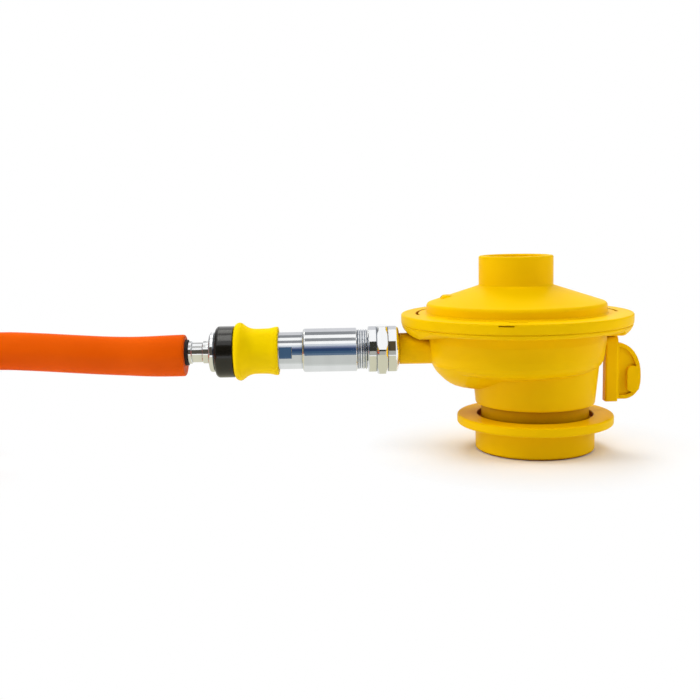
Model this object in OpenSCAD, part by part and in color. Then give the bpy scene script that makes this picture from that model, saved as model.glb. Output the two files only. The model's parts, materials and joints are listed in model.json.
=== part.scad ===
// Clip-on low-pressure propane regulator with quick coupler and gas hose.
// Millimetres. Origin: centre of the inlet socket's mouth, on the surface that
// the regulator stands on. +Z runs up the inlet axis, -X runs towards the hose.

/* [Housing] */
// Overall height of the regulator
housing_h = 84.4; // [80:0.1:92]
// Distance from the inlet axis to the diaphragm axis
housing_offset = 8.4; // [7:0.1:10]
// Diameter of the clamped flange
flange_d = 99; // [96:0.5:106]
// Height of the flange's top face above the floor
flange_top = 60; // [59:0.1:62]
// Thickness of the cover's half of the flange
cover_flange_t = 4.4; // [3.6:0.1:5.2]
// Width of the flange round the cover's side wall
flange_w = 11; // [9:0.1:13]
// Height of the cover's side wall
cover_wall_h = 3.1; // [2:0.1:4]
// Rise of the cover's cone
cone_rise = 7.2; // [6:0.1:8.5]
// Wall of the cover
cover_wall = 2.6; // [2:0.1:3]
// Outer diameter of the adjuster's turret
turret_d = 31.8; // [30:0.1:34]
// Wall of the turret
turret_wall = 2.5; // [2:0.1:3]
// Height of the outlet bulge's underside above the floor
bulge_floor = 26.9; // [26.6:0.1:28]
// Height of the bowl's flat underside above the floor
bowl_floor = 33.9; // [33.4:0.1:34.4]
// Wall of the bowl
bowl_wall = 3; // [2.4:0.1:3.4]
// Width of the vent boss on the cover
vent_w = 9; // [7:0.5:11]
// Diameter of the vent hole
vent_d = 1.6; // [1:0.1:2.4]

/* [Inlet] */
// Diameter of the neck at its lower edge
neck_d = 51.4; // [50.8:0.1:53]
// Diameter of the neck where it meets the flange
neck_top_d = 57; // [56:0.1:57.6]
// Height of the neck's lower edge above the floor
neck_bottom = 20.5; // [20.2:0.1:22]
// Diameter of the cylinder valve's head
valve_head_d = 35; // [34.8:0.1:35.4]
// Wall of the ball cage round the valve's head
cage_wall = 5.2; // [5:0.1:5.6]
// Depth of the inlet socket
socket_depth = 13; // [12:0.1:14]
// Diameter of a locking ball
ball_d = 6.6; // [6.2:0.1:6.8]
// Number of locking balls
ball_count = 8; // [6:1:10]
// Height of the balls' centres above the floor
ball_z = 7.2; // [7:0.1:7.6]

/* [Locking collar] */
// Diameter of the collar's finger ring
ring_d = 67.4; // [64:0.2:68]
// Thickness of the finger ring
ring_t = 4; // [3.4:0.1:4.4]
// Wall of the collar's skirt
skirt_wall = 2.35; // [2.2:0.05:2.6]
// Height of the finger ring's top face above the floor
ring_top = 15.6; // [15:0.1:15.8]
// Travel of the collar
collar_lift = 3.8; // [3:0.1:3.8]

/* [On-off lever] */
// Height of the lever's shaft above the floor
shaft_z = 46; // [45.4:0.1:46.4]
// Diameter of the lever's shaft
shaft_d = 6; // [5:0.1:6.2]
// Lift of the cam over a quarter turn
cam_lift = 2; // [1.4:0.1:2.1]
// Thickness of the lever's bar along the shaft
bar_t = 5.4; // [4.4:0.1:6]
// Width of the lever's bar across the shaft
bar_w = 5.4; // [4.6:0.1:6]
// Height of the lever's lower end above the floor
lever_bottom = 20.3; // [19.9:0.1:22]
// Width of the finger grip beyond the bar
grip_w = 10; // [9.5:0.1:12]
// Thickness of the finger grip's web
web_t = 2.4; // [1.8:0.1:3]

/* [Regulating mechanism] */
// Stroke of the diaphragm
stroke = 1.6; // [1:0.1:1.6]
// Long arm of the inner lever
long_arm = 15.6; // [15:0.1:17]
// Short arm of the inner lever
short_arm = 6; // [5.6:0.1:6.4]
// Height of the inner lever's pivot above the floor
pivot_z = 44; // [43.6:0.1:44.2]
// Gap between the valve pad and the nozzle with no gas on
nozzle_gap = 0.8; // [0.78:0.01:1.2]
// Wire of the main spring
main_wire = 2; // [1.4:0.1:2.2]
// Coils of the main spring
main_turns = 5; // [4:1:7]

/* [Outlet] */
// Height of the outlet's axis above the floor
outlet_z = 45; // [44.6:0.1:45.4]
// Reach of the outlet's end face beyond the flange
outlet_past = 1; // [0.8:0.1:3]
// Diameter of the outlet's boss
outlet_d = 13.5; // [13.3:0.1:14.4]
// Diameter of the outlet's thread, G 1/4 left hand
thread_d = 13.16; // [13.1:0.01:13.2]
// Bore of the outlet
outlet_bore = 9; // [7.6:0.1:9.2]
// Length of the union nut
nut_len = 13.4; // [13:0.1:15]
// Size of the union nut across its flats
nut_af = 20.5; // [20.2:0.1:21]
// Diameter of the union nut's round bands
nut_band_d = 19.9; // [19.4:0.1:20.2]
// Diameter of the plug's wide tube
plug_d = 18.9; // [18:0.1:19.4]
// Length of the plug's wide tube
plug_len = 23.6; // [20:0.1:28]
// Diameter of the plug's narrow tube
plug_narrow_d = 16.1; // [15.4:0.1:16.2]
// Length of the plug's narrow tube in view
plug_narrow_len = 10.5; // [9:0.1:13]

/* [Quick coupler] */
// Length of the release sleeve
sleeve_len = 18.9; // [18.6:0.1:20]
// Diameter of the release sleeve at its crest
sleeve_d = 24.6; // [24:0.1:26]
// Diameter of the release sleeve at its waist
waist_d = 19.6; // [19.6:0.1:21]
// Diameter of the release sleeve's front edge
flare_d = 21.1; // [20.4:0.1:22]
// Diameter of the bumper ring
bumper_d = 22.3; // [21.4:0.1:23]
// Length of the bumper ring
bumper_len = 8.2; // [7.6:0.1:9]
// Diameter of the coupler's rear flange
rear_flange_d = 17.3; // [16.6:0.1:17.4]
// Travel of the release sleeve
sleeve_travel = 5; // [4.6:0.1:5.2]

/* [Hose] */
// Outer diameter of the hose
hose_d = 16; // [15:0.1:16]
// Outer diameter of the hose's black lining
liner_d = 11.2; // [10.8:0.1:12]
// Radius of the stored loop, to the middle of the hose
loop_r = 80; // [78:1:90]
// Sides of the hose's cross-section along its free stretch
hose_sides = 12; // [8:1:12]
// Diameter of the crimped ferrule
ferrule_d = 18.8; // [17.6:0.1:19.2]
// Size of the end nut across its flats
end_nut_af = 17; // [16.8:0.1:17.2]

/* [Clearances] */
// Radial running clearance of shafts and pins
run_gap = 0.05; // [0.03:0.01:0.08]
// Radial clearance of sliding and turning covers
slide_gap = 0.15; // [0.1:0.01:0.2]
// Gap under the collar and between faces that pass each other
face_gap = 0.2; // [0.1:0.05:0.3]

/* [Hidden] */
$fn = 72;
eps = 0.01;

// Colours
cast_yellow = "gold";
plastic_yellow = "yellow";
steel = "silver";
brass = "goldenrod";
rubber_black = "dimgray";

// Housing, derived
split_z = flange_top - cover_flange_t;
flange_r = flange_d / 2;
cover_r = flange_r - flange_w;
turret_r = turret_d / 2;
turret_bore_r = turret_r - turret_wall;
bowl_r = cover_r - 0.1;
lug_w = 9.5;
lug_h = 7.6;
lug_bottom = split_z - 6.2;
lip_bottom = split_z - 2.1;
bowl_top = lug_bottom - 0.6;
bowl_flat_r = bowl_r - 13.4;
chamber_floor = bowl_floor + bowl_wall + 0.6;
bulge_h = 12.1;
bulge_r = 37;
bulge_axis_z = bulge_floor + bulge_r;
cone_base_z = flange_top + cover_wall_h + 1.5;
cone_base_r = cover_r - 1.6;
cone_top_z = cone_base_z + cone_rise;
chamber_r = bowl_r - bowl_wall;
diaphragm_t = 1.2;
diaphragm_r = flange_r - 9;
tongue_r = flange_r - 6.9;
tongue_w = 0.9;
slot_w = 1.2;
vent_z = cone_base_z + 2.3;
vent_top = cone_base_z + 3.3;
vent_end_r = cover_r - 6;

// Inlet, derived
neck_r = neck_d / 2;
neck_top_r = neck_top_d / 2;
mouth_r = valve_head_d / 2 + 0.1;
socket_r = mouth_r + 0.4;
stem_r = socket_r + cage_wall;
mouth_h = 3;
ball_r = ball_d / 2;
ball_pcr = stem_r - ball_r;
spigot_r = 12;
spigot_h = 6;
gas_r = 3.6;
plunger_r = 2;
seal_r = 9;
seal_t = 2;
seal_proud = 0.5;
snap_z = 1.9;
snap_t = 1.2;
snap_r = stem_r + 1.1;
snap_groove_r = stem_r - 0.9;

// Collar, derived
ring_r = ring_d / 2;
skirt_r = stem_r + slide_gap + skirt_wall;
collar_bore_r = stem_r + slide_gap;
collar_recess_r = stem_r + 1.7;
release_r = stem_r + 1.5;
release_z = ball_z - collar_lift + 0.2;

// Lever and cam, derived
shaft_r = shaft_d / 2;
tower_r = 5.6;
tunnel_r = shaft_r + 2.4;
tower_top = shaft_z + tunnel_r;
lever_x = max(neck_top_r, bowl_r - housing_offset) + face_gap;
bar_right = lever_x + bar_t;
grip_reach = bar_right + grip_w;
hub_r = bar_w / 2;
shaft_end_r = 1.7;
cross_pin_r = 0.6;
shaft_gland_x = lever_x - face_gap - 6.25;
tunnel_end = lever_x - face_gap - 2.1;
cam_low_r = shaft_r - cam_lift;
cam_half_w = 2.4;
cam_tip_gap = 0.15;
guide_z = gas_r + 29.4;

// Regulating mechanism, derived
stem_x = -housing_offset;
pivot_x = stem_x - long_arm;
nozzle_x = pivot_x - short_arm;
lever_t = 1.8;
pad_t = 1.8;
pad_bottom = pivot_z - lever_t / 2 - pad_t;
nozzle_top = pad_bottom - nozzle_gap;
gallery_z = bulge_floor + 4.7;
rib_top = gallery_z + 2.9;
boss_top = gallery_z + 4.4;
ear_gap = 3.6;
ear_t = 2;
ear_r = 2.4;
pin_r = 1;
fold_r = chamber_r - 5.9;
plate_r = fold_r - 4.5;
plate_t = 1;
screw_t = 5;
screw_bottom = split_z + 16.6;
main_spring_r = 10.4;
main_spring_hub_r = main_spring_r * cos(22.5) - main_wire / 2 - 0.3;

// Outlet, as distances from the inlet axis along the hose side
outlet_reach = flange_r + housing_offset + outlet_past;
thread_end = outlet_reach + 7.6;
seal_ring_t = 1;
plug_face = thread_end + seal_ring_t;
nut_start = outlet_reach + 0.3;
nut_end = nut_start + nut_len;
nut_back_t = 2.2;
nut_back = nut_end - nut_back_t;
plug_neck_r = 5.2;
plug_bore_r = 3.5;
ringed_len = 4.2;
ringed_start = nut_end + 0.3;
wide_start = ringed_start + ringed_len;
wide_end = wide_start + plug_len;
narrow_end = wide_end + plug_narrow_len + 0.8;
tip_r = 5;
tip_len = 12;
tip_end = narrow_end + tip_len;

// Coupler, as distances along the hose side
sleeve_start = wide_end + plug_narrow_len;
sleeve_end = sleeve_start + sleeve_len;
bumper_end = sleeve_end + bumper_len;
coupler_start = narrow_end + 1.2;
coupler_r = 7;
coupler_bore_r = tip_r + run_gap;
cball_r = 1.4;
cball_s = narrow_end + 5;
cball_count = 6;
lock_depth = 0.8;
lock_land_r = coupler_r + 0.15;
land_start = cball_s - 2.4;
land_end = cball_s + 2.5;
shoulder_end = land_end + 1.5;
sleeve_bore_r = rear_flange_d / 2 + slide_gap;
sleeve_mouth_r = plug_narrow_d / 2 + 0.25;
sleeve_tail_r = sleeve_bore_r + 0.95;
rear_flange_len = 2.6;
rear_flange_start = bumper_end;
spring_stop = rear_flange_start - 4.3;
step_start = rear_flange_start + rear_flange_len;
step_len = 3.1;
step_r = 4.86;
nipple_start = step_start + step_len;
nipple_len = 4.5;
nipple_r = 4.3;
collar_len = 1.8;
nipple_collar_r = 4.9;
nipple_end = nipple_start + nipple_len + collar_len;
liner_len = 1.3;
hose_start = nipple_end + liner_len;
barb_end = nipple_end + 21;
barb_r = 5;
sleeve_wire = 1;
sleeve_turns = 4;
poppet_chamber_r = 4.6;
poppet_face = tip_end + 0.4;
poppet_chamber_end = poppet_face + 13;

// Hose route. The free stretch runs from the coupler, out of view and down to the
// loop; the loop then turns once on the floor and ends in a straight tail.
hose_r = hose_d / 2;
tail_lane_z = 10;
crossing_gap = 0.8;
loop_high_z = tail_lane_z + hose_d + crossing_gap;
lead_points = [
    [-hose_start, 0, outlet_z],
    [-168, 0, outlet_z],
    [-184, 0, 45.4],
    [-199, 0, 46.2],
    [-214, 0, 47.1],
    [-228, 0, 47.6],
    [-237, 0.3, 47.1],
    [-246, 1.1, 45.6],
    [-255, 2.5, 43.3],
    [-264, 4.1, 40.4],
    [-273, 6, 37.2],
    [-282, 7.9, 34],
    [-291, 9.5, 31.1],
    [-300, 10.9, 28.8],
    [-309, 11.7, 27.3],
    [-318, 12, loop_high_z],
    [-334, 12, loop_high_z]
];
lead_end = lead_points[len(lead_points) - 1];
straight_end = hose_d;
loop_x = lead_end[0] - straight_end;
loop_y = lead_end[1] - loop_r;
loop_rings = 24;
loop_sides = 6;
loop_fall = 150;
loop_rise_from = 270;
tail_len = 47;
tail_end_x = loop_x - tail_len;
tail_y = lead_end[1];
tie_w = 5;
tie_t = 1.3;

// End fitting, as distances from the hose's cut end at the tail
ferrule_grip = 18;
ferrule_front = 4;
end_stem_r = 4.4;
end_nut_start = ferrule_front + 3.2;
end_nut_len = 14;
end_nut_back = 2.2;
end_collar_r = 6.2;
end_seal_seat = end_nut_start + 4;
end_seal_t = 1;
end_thread_start = end_seal_seat + end_seal_t + 0.1;

// ---------------------------------------------------------------- shared helpers

// Points of an arc about [cx, cz], with semi-axes ra and rb.
function arc(cx, cz, ra, rb, from, to, steps) =
    [for (i = [0:steps]) let (a = from + (to - from) * i / steps)
        [cx + ra * cos(a), cz + rb * sin(a)]];

// Smooth step from 0 to 1.
function ease(t) = (1 - cos(180 * min(1, max(0, t)))) / 2;

function unit(v) = v / norm(v);

// One ring of a tube: sides points about p, square to the direction dir.
function tube_ring(p, dir, r, sides) =
    let (side = unit(cross([0, 0, 1], dir)), up = cross(dir, side))
    [for (k = [0:sides - 1]) let (a = 360 * (k + 0.5) / sides)
        p + r * (cos(a) * side + sin(a) * up)];

function path_dir(path, i) =
    i == 0 ? unit(path[1] - path[0])
    : i == len(path) - 1 ? unit(path[i] - path[i - 1])
    : unit(unit(path[i + 1] - path[i]) + unit(path[i] - path[i - 1]));

function path_length(path, i = 0) =
    i >= len(path) - 1 ? 0 : norm(path[i + 1] - path[i]) + path_length(path, i + 1);

// A solid tube along a path, with triangular faces and flat ends.
module tube(path, r, sides) {
    rings = [for (i = [0:len(path) - 1]) tube_ring(path[i], path_dir(path, i), r, sides)];
    points = [for (ring = rings) each ring];
    last = (len(path) - 1) * sides;
    walls = [for (i = [0:len(path) - 2], k = [0:sides - 1])
        let (a = i * sides + k, b = i * sides + (k + 1) % sides)
        each [[a, a + sides, b], [b, a + sides, b + sides]]];
    caps = [for (k = [1:sides - 2]) each [[0, k, k + 1], [last, last + k + 1, last + k]]];
    polyhedron(points, concat(walls, caps));
}

// A round-wire compression spring on the Z axis, from z0 to z1, with ring_sides flats.
module coil_spring(mean_r, wire, z0, z1, turns) {
    sides = 6;
    steps = 8 * turns;
    rise = z1 - z0 - wire;
    path = [for (i = [0:steps]) let (a = 360 * turns * i / steps)
        [mean_r * cos(a), mean_r * sin(a), z0 + wire / 2 + rise * i / steps]];
    tube(path, wire / 2, sides);
}

// A torus about the Z axis at height z.
module torus(major, minor, z) {
    translate([0, 0, z])
        rotate_extrude()
            translate([major, 0])
                circle(r = minor, $fn = 32);
}

// A tube about the Z axis from z0 to z1.
module pipe(r_out, r_in, z0, z1) {
    translate([0, 0, z0])
        difference() {
            cylinder(h = z1 - z0, r = r_out);
            translate([0, 0, -1])
                cylinder(h = z1 - z0 + 2, r = r_in);
        }
}

module on_housing() {
    translate([-housing_offset, 0, 0])
        children();
}

// Turns local +Z towards the hose, along the outlet's axis.
module on_outlet() {
    translate([0, 0, outlet_z])
        rotate([0, -90, 0])
            children();
}

// Turns local +Z away from the hose, along the lever's shaft.
module on_shaft() {
    translate([0, 0, shaft_z])
        rotate([0, 90, 0])
            children();
}

// Turns local +Z along -X from the end of the hose's tail.
module on_tail() {
    translate([tail_end_x, tail_y, tail_lane_z])
        rotate([0, -90, 0])
            children();
}

// An arc-shaped bar about the housing's axis.
module flange_arc(r, w, z0, z1, from, to) {
    rotate([0, 0, from])
        rotate_extrude(angle = to - from)
            translate([r - w / 2, z0])
                square([w, z1 - z0]);
}

// Angles of the flange's locking tongues: [middle, half width].
tongues = [[22, 30], [158, 30], [262, 5], [82, 5]];

// ---------------------------------------------------------------- housing

module bowl_outline() {
    polygon([[0, bowl_floor], [bowl_flat_r, bowl_floor], [bowl_r - 9.6, bowl_floor + 1],
             [bowl_r - 6.5, bowl_floor + 1.7], [bowl_r - 3.7, bowl_floor + 2.7],
             [bowl_r - 2, bowl_floor + 4.3], [bowl_r - 1.1, bowl_floor + 6.1],
             [bowl_r - 0.6, bowl_floor + 8.9], [bowl_r, bowl_top], [bowl_r, lip_bottom - 0.6],
             [bowl_r + 0.6, lip_bottom], [flange_r - 1.6, lip_bottom + 0.1],
             [flange_r - 0.7, lip_bottom + 0.8], [flange_r - 0.3, split_z - 0.4],
             [flange_r - 0.6, split_z], [0, split_z]]);
}

module chamber_outline() {
    polygon([[0, chamber_floor], [bowl_flat_r, chamber_floor],
             [bowl_r - 7.4, chamber_floor + 1.1], [bowl_r - 4.7, chamber_floor + 2.7],
             [bowl_r - 3.8, chamber_floor + 5.5], [chamber_r, bowl_top],
             [chamber_r, split_z + 1], [0, split_z + 1]]);
}

// Bulge of the bowl on the hose side: turned about a level axis along the outlet.
// The points are [in from the bowl's radius, up from the bulge's floor].
module outlet_bulge() {
    rise = [[19.9, 0.1], [15, 0.9], [11.6, 1.9], [9.4, 3], [7.2, 4.6], [5.5, 6.3],
            [4.2, 7.6], [3.3, 8.8], [2.2, 10.8], [1.4, 13]];
    on_housing()
        intersection() {
            translate([0, 0, bulge_axis_z])
                rotate([0, -90, 0])
                    rotate_extrude()
                        polygon(concat(
                            [[0, 8], [bulge_r, 8]],
                            [for (p = rise) [bulge_r - p[1], bowl_r - p[0]]],
                            [[0, bowl_r - 1]]));
            translate([0, 0, bulge_floor - 1])
                cylinder(h = bowl_top - bulge_floor + 0.8, r = bowl_r - 1.2);
        }
}

// Room for the nozzle inside the bulge.
module nozzle_pocket() {
    floor_z = bulge_floor + bowl_wall;
    h = bulge_h - 2.4;
    intersection() {
        on_housing()
            rotate_extrude()
                polygon(concat(
                    [[0, floor_z]],
                    arc(bowl_r - 23.4, floor_z + h, 18, h, -90, 0, 14),
                    [[bowl_r - 5.4, chamber_floor + 2.5], [0, chamber_floor + 2.5]]));
        translate([-80, 0, bulge_axis_z])
            rotate([0, 90, 0])
                cylinder(h = 64, r = bulge_r - bowl_wall);
    }
}

// Thick lug under the flange, at the left and at the right.
module flange_lugs() {
    lug_r = 91;
    intersection() {
        on_housing()
            rotate_extrude()
                polygon(concat(
                    [[bowl_r - 1.2, bowl_top - 0.3]],
                    arc(flange_r - lug_w, lug_bottom + lug_h, lug_w, lug_h, -90, -16, 14),
                    [[bowl_r - 1.2, split_z - 0.8]]));
        translate([-80, 0, lug_bottom + lug_r])
            rotate([0, 90, 0])
                cylinder(h = 160, r = lug_r, $fn = 180);
    }
}

module neck_solid() {
    rotate_extrude()
        polygon([[0, neck_bottom], [neck_r - 0.7, neck_bottom], [neck_r - 0.2, neck_bottom + 0.2],
                 [neck_r, neck_bottom + 0.7], [neck_top_r, bowl_top], [0, bowl_top]]);
}

module outlet_solid() {
    on_outlet() {
        translate([0, 0, housing_offset + chamber_r - 2])
            cylinder(h = outlet_reach - housing_offset - chamber_r + 2, d = outlet_d);
        translate([0, 0, outlet_reach])
            cylinder(h = thread_end - outlet_reach, d = thread_d);
    }
}

// Tower of the plunger, tunnel of the shaft, gas gallery and ears of the inner lever.
module valve_works() {
    rib_w = 2 * (ear_gap + ear_t + 0.3);
    rib_end = 4.4;
    rib_bottom = bulge_floor + bowl_wall - 0.2;
    boss_r = 4.2;
    translate([0, 0, bowl_floor + 1])
        cylinder(h = tower_top - bowl_floor - 1, r = tower_r);
    on_shaft()
        cylinder(h = tunnel_end, r = tunnel_r);
    translate([nozzle_x - rib_end, -rib_w / 2, rib_bottom])
        cube([rib_end - nozzle_x - 4, rib_w, rib_top - rib_bottom]);
    translate([nozzle_x, 0, rib_top - 1])
        cylinder(h = boss_top - rib_top + 1, r = boss_r);
    for (side = [-1, 1])
        translate([pivot_x, side * (ear_gap + ear_t / 2), 0])
            rotate([90, 0, 0])
                translate([0, 0, -ear_t / 2])
                    linear_extrude(ear_t)
                        union() {
                            translate([0, pivot_z])
                                circle(r = ear_r);
                            translate([-ear_r - 0.6, rib_top - 0.5])
                                square([2 * ear_r + 1.2, pivot_z - rib_top - 1]);
                        }
}

module body_bores() {
    // Gas way up from the socket, plunger guide and shaft bore
    translate([0, 0, neck_bottom - 1])
        cylinder(h = guide_z - neck_bottom + 1, r = gas_r);
    translate([0, 0, guide_z - 1])
        cylinder(h = shaft_z - guide_z + 1, r = plunger_r + run_gap);
    translate([-cam_half_w - 1.2, 0, 0])
        on_shaft()
            cylinder(h = lever_x + cam_half_w + 3, r = shaft_r + run_gap);
    translate([shaft_gland_x, 0, 0])
        on_shaft()
            cylinder(h = 1.5, r = shaft_r + 1.2);
    // Socket's spigot
    translate([0, 0, neck_bottom - 1])
        cylinder(h = spigot_h + 1, r = spigot_r);
    // Gallery to the nozzle
    translate([0, 0, gallery_z])
        rotate([0, -90, 0])
            cylinder(h = -nozzle_x, r = 1.7);
    translate([nozzle_x, 0, gallery_z])
        cylinder(h = boss_top - gallery_z + 1, r = 2.5);
    // Pivot pin
    translate([pivot_x, 0, pivot_z])
        rotate([90, 0, 0])
            cylinder(h = 20, r = pin_r, center = true);
    // Outlet
    on_outlet()
        translate([0, 0, housing_offset + chamber_r - 4])
            cylinder(h = 60, d = outlet_bore);
}

module regulator_body() {
    color(cast_yellow)
        difference() {
            union() {
                difference() {
                    union() {
                        on_housing()
                            rotate_extrude()
                                bowl_outline();
                        neck_solid();
                        outlet_bulge();
                        flange_lugs();
                    }
                    on_housing()
                        rotate_extrude()
                            chamber_outline();
                    nozzle_pocket();
                    on_housing()
                        translate([0, 0, split_z - diaphragm_t])
                            cylinder(h = diaphragm_t + 1, r = diaphragm_r);
                }
                valve_works();
                outlet_solid();
                on_housing()
                    for (t = tongues)
                        flange_arc(tongue_r, tongue_w, split_z - 1, flange_top - 1.4,
                                   t[0] - t[1] + 0.5, t[0] + t[1] - 0.5);
            }
            body_bores();
        }
}

module cover_outline() {
    rim = 0.8;
    edge = 1.7;
    polygon(concat(
        [[0, split_z], [flange_r - 0.5, split_z], [flange_r - 0.1, split_z + 0.4],
         [flange_r, split_z + 1.4]],
        arc(flange_r - rim, flange_top - rim, rim, rim, 0, 90, 4),
        arc(cover_r + 0.7, flange_top + 0.7, 0.7, 0.7, 270, 180, 4),
        arc(cover_r - edge, flange_top + cover_wall_h, edge, edge, 0, 65, 8),
        arc(turret_r + 0.8, cone_top_z + 0.5, 0.8, 0.8, 250, 180, 4),
        arc(turret_r - rim, housing_h - rim, rim, rim, 0, 90, 6),
        [[0, housing_h]]));
}

module cover_cavity_outline() {
    inner_r = chamber_r + 0.2;
    inner_top = flange_top + cover_wall_h - cover_wall + 1;
    polygon([[0, split_z - 1], [inner_r, split_z - 1], [inner_r, inner_top],
             [inner_r - 1.2, inner_top + 1], [turret_bore_r, cone_top_z - cover_wall + 0.6],
             [turret_bore_r, housing_h - 0.6], [turret_bore_r + 0.6, housing_h + eps],
             [turret_bore_r + 0.6, housing_h + 1], [0, housing_h + 1]]);
}

module vent_boss() {
    base_z = cone_base_z - 1;
    half_w = vent_w / 2;
    h = vent_top - base_z;
    edge = 0.9;
    translate([-vent_end_r + half_w, 0, base_z]) {
        rotate_extrude()
            polygon([[0, 0], [half_w, 0], [half_w, h - edge], [half_w - edge, h], [0, h]]);
        rotate([90, 0, 90])
            linear_extrude(14)
                polygon([[-half_w, 0], [half_w, 0], [half_w, h - edge], [half_w - edge, h],
                         [edge - half_w, h], [-half_w, h - edge]]);
    }
}

module top_cover() {
    color(cast_yellow)
        on_housing()
            difference() {
                union() {
                    rotate_extrude()
                        cover_outline();
                    vent_boss();
                }
                rotate_extrude()
                    cover_cavity_outline();
                for (t = tongues)
                    flange_arc(tongue_r, slot_w, split_z - 1, flange_top + 1,
                               t[0] - t[1], t[0] + t[1]);
                // Vent from the boss's blunt end into the spring chamber
                translate([-vent_end_r - 1, 0, vent_z])
                    rotate([0, 90, 0])
                        cylinder(h = 16, d = vent_d);
                // Notch under the flange's top edge
                flange_arc(flange_r, 1.4, flange_top - 1.1, flange_top - 0.6, 253, 260);
            }
}

module adjusting_screw() {
    socket_af = 8;
    color(cast_yellow)
        on_housing()
            difference() {
                union() {
                    translate([0, 0, screw_bottom])
                        cylinder(h = screw_t, r = turret_bore_r - run_gap);
                    translate([0, 0, screw_bottom - 2])
                        cylinder(h = 2 + eps, r = main_spring_hub_r);
                }
                translate([0, 0, screw_bottom + 1.2])
                    cylinder(h = screw_t, d = socket_af / cos(30), $fn = 6);
                translate([0, 0, screw_bottom + screw_t - 1.4])
                    difference() {
                        cylinder(h = 2, r = turret_bore_r - 1.6);
                        translate([0, 0, -1])
                            cylinder(h = 4, r = socket_af / 2 + 2);
                    }
            }
}

module main_spring() {
    color(steel)
        on_housing()
            coil_spring(main_spring_r, main_wire, split_z + plate_t, screw_bottom, main_turns);
}

// ---------------------------------------------------------------- regulating mechanism

module diaphragm() {
    z = split_z - diaphragm_t;
    fold = 3.2;
    color(rubber_black)
        on_housing()
            rotate_extrude()
                polygon(concat(
                    [[1.8, z], [fold_r - fold, z]],
                    arc(fold_r, z, fold - diaphragm_t, fold - diaphragm_t, 180, 0, 10),
                    [[fold_r + fold, z], [diaphragm_r, z], [diaphragm_r, split_z],
                     [fold_r + fold, split_z]],
                    arc(fold_r, split_z, fold, fold - 0.6, 0, 180, 10),
                    [[1.8, split_z]]));
}

module diaphragm_plate() {
    hub = main_spring_hub_r;
    color(steel)
        on_housing()
            translate([0, 0, split_z])
                difference() {
                    union() {
                        cylinder(h = plate_t, r = plate_r);
                        cylinder(h = plate_t + 1.2, r = hub);
                        pipe(plate_r, plate_r - 0.8, 0, plate_t + 0.8);
                    }
                    translate([0, 0, -1])
                        cylinder(h = 5, r = 1.5);
                    translate([0, 0, plate_t])
                        cylinder(h = 5, r = hub - 1.2);
                }
}

// Rivet of the diaphragm, with the eye that holds the inner lever's tip.
module diaphragm_stem() {
    eye_w = 4.4;
    window = 2.1;
    washer_t = 0.8;
    eye_top = pivot_z + 3;
    eye_bottom = pivot_z - 2.4;
    color(brass)
        translate([stem_x, 0, 0])
            difference() {
                union() {
                    translate([0, 0, eye_bottom])
                        cylinder(h = split_z + plate_t - eye_bottom, r = 1.5);
                    translate([0, 0, split_z - diaphragm_t - washer_t])
                        cylinder(h = washer_t, r = 6);
                    translate([0, 0, split_z + plate_t])
                        cylinder(h = 0.9, r = 3.4);
                    translate([-eye_w / 2, -2.6, eye_bottom])
                        cube([eye_w, 5.2, eye_top - eye_bottom]);
                }
                translate([-5, -1.7, pivot_z - window / 2])
                    cube([10, 3.4, window]);
            }
}

module inner_lever() {
    nose_r = 0.95;
    arm_w = 3;
    color(steel)
        translate([pivot_x, 0, pivot_z])
            difference() {
                union() {
                    rotate([90, 0, 0])
                        cylinder(h = 2 * ear_gap - 0.6, r = 2.1, center = true);
                    translate([0, -arm_w / 2, -0.6])
                        cube([long_arm, arm_w, 1.2]);
                    translate([long_arm, 0, 0])
                        rotate([90, 0, 0])
                            cylinder(h = arm_w, r = nose_r, center = true);
                    translate([-short_arm, 0, -lever_t / 2])
                        cylinder(h = lever_t, r = 3.2);
                    translate([-short_arm, -arm_w / 2, -lever_t / 2])
                        cube([short_arm, arm_w, lever_t]);
                }
                rotate([90, 0, 0])
                    cylinder(h = 20, r = pin_r + 0.04, center = true);
            }
}

module valve_pad() {
    color(rubber_black)
        translate([nozzle_x, 0, pad_bottom])
            cylinder(h = pad_t, r = 2.6);
}

module lever_pivot_pin() {
    color(steel)
        translate([pivot_x, 0, pivot_z])
            rotate([90, 0, 0])
                cylinder(h = 2 * (ear_gap + ear_t), r = pin_r, center = true);
}

module nozzle() {
    shank = 2.5;
    lip_r = 1.4;
    color(brass)
        translate([nozzle_x, 0, 0])
            difference() {
                union() {
                    translate([0, 0, boss_top - 3])
                        cylinder(h = 3 + eps, r = shank);
                    translate([0, 0, boss_top])
                        cylinder(h = 2, r = 3.6, $fn = 6);
                    translate([0, 0, boss_top + 2 - eps])
                        cylinder(h = nozzle_top - boss_top - 2 + eps, r1 = 2.8, r2 = lip_r);
                }
                translate([0, 0, boss_top - 5])
                    cylinder(h = 20, r = 0.8);
            }
}

// ---------------------------------------------------------------- on-off lever

// What the plunger's notch leaves of the shaft is a cam: its radius grows evenly
// over a quarter turn, so the plunger follows the lever in step. Angle 0 points
// down, 90 points to +Y.
module cam_notch() {
    function at(a, r) = [r * cos(a), r * sin(a)];
    polygon(concat(
        [for (a = [-50:10:-10]) at(a, cam_low_r)],
        [for (a = [0:8.5:85]) at(a, cam_low_r + cam_lift * a / 90)],
        [for (a = [92:-30.4:-60]) at(a, shaft_r + 1.5)]));
}

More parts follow.
